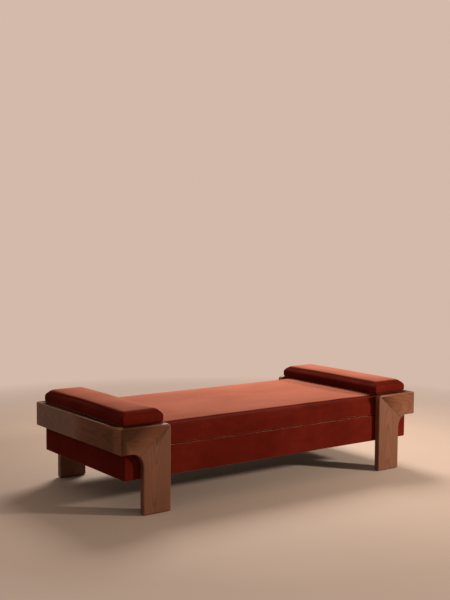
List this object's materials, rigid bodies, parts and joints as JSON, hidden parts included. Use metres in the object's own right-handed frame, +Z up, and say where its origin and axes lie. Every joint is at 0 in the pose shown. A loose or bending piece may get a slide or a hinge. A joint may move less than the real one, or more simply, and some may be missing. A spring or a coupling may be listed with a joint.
{
  "type": "daybed",
  "caption": "Low backless daybed: dark wooden end frames with slab legs, velvet-covered base, loose mattress and a flat bolster across each end.",
  "frame": {"origin": "on the floor, under the middle of the bed", "axes": "+X along the bed's length, +Y towards its rear long side, +Z up"},
  "size_m": [2.05, 0.954, 0.5353],
  "materials": {
    "stained_oak": "satin",
    "beech": "matte",
    "pine": "matte",
    "velvet": "matte",
    "foam": "matte",
    "felt": "matte",
    "cambric": "matte",
    "zip_tape": "matte",
    "steel": "satin",
    "brass": "satin"
  },
  "bodies": {
    "root": {"left_front_leg": "stained_oak", "left_front_arm": "stained_oak", "left_front_mitre_spline": "beech", "left_front_rail_tongue": "beech", "left_front_felt_pad": "felt", "left_front_leg_bolt_1": "steel", "left_front_leg_bolt_2": "steel", "left_rear_leg": "stained_oak", "left_rear_arm": "stained_oak", "left_rear_mitre_spline": "beech", "left_rear_rail_tongue": "beech", "left_rear_felt_pad": "felt", "left_rear_leg_bolt_1": "steel", "left_rear_leg_bolt_2": "steel", "left_end_rail": "stained_oak", "right_front_leg": "stained_oak", "right_front_arm": "stained_oak", "right_front_mitre_spline": "beech", "right_front_rail_tongue": "beech", "right_front_felt_pad": "felt", "right_front_leg_bolt_1": "steel", "right_front_leg_bolt_2": "steel", "right_rear_leg": "stained_oak", "right_rear_arm": "stained_oak", "right_rear_mitre_spline": "beech", "right_rear_rail_tongue": "beech", "right_rear_felt_pad": "felt", "right_rear_leg_bolt_1": "steel", "right_rear_leg_bolt_2": "steel", "right_end_rail": "stained_oak", "base_front_rail": "pine", "base_rear_rail": "pine", "base_left_end": "pine", "base_right_end": "pine", "base_cross_rail_1": "pine", "base_cross_rail_2": "pine", "base_cross_rail_3": "pine", "base_slat_1": "pine", "base_slat_2": "pine", "base_slat_3": "pine", "base_slat_4": "pine", "base_slat_5": "pine", "base_slat_6": "pine", "base_slat_7": "pine", "base_slat_8": "pine", "base_velvet": "velvet", "base_dust_sheet": "cambric"},
    "mattress": {"mattress_filling": "foam", "mattress_cover": "velvet", "mattress_zip": "zip_tape"},
    "mattress_zip_slider": {"mattress_zip_slider": "brass"},
    "left_bolster": {"left_bolster_filling": "foam", "left_bolster_cover": "velvet", "left_bolster_zip": "zip_tape"},
    "left_bolster_zip_slider": {"left_bolster_zip_slider": "brass"},
    "right_bolster": {"right_bolster_filling": "foam", "right_bolster_cover": "velvet", "right_bolster_zip": "zip_tape"},
    "right_bolster_zip_slider": {"right_bolster_zip_slider": "brass"}
  },
  "joints": [
    {"name": "mattress_lift", "type": "slide", "parent": "root", "child": "mattress", "axis": [0, 0, 1], "range_m": [0, 0.18]},
    {"name": "left_bolster_lift", "type": "slide", "parent": "mattress", "child": "left_bolster", "axis": [0, 0, 1], "range_m": [0, 0.12]},
    {"name": "right_bolster_lift", "type": "slide", "parent": "mattress", "child": "right_bolster", "axis": [0, 0, 1], "range_m": [0, 0.12]},
    {"name": "mattress_zip_slide", "type": "slide", "parent": "mattress", "child": "mattress_zip_slider", "axis": [-1, 0, 0], "range_m": [0, 1.45]},
    {"name": "left_bolster_zip_slide", "type": "slide", "parent": "left_bolster", "child": "left_bolster_zip_slider", "axis": [0, -1, 0], "range_m": [0, 0.59]},
    {"name": "right_bolster_zip_slide", "type": "slide", "parent": "right_bolster", "child": "right_bolster_zip_slider", "axis": [0, -1, 0], "range_m": [0, 0.59]}
  ]
}
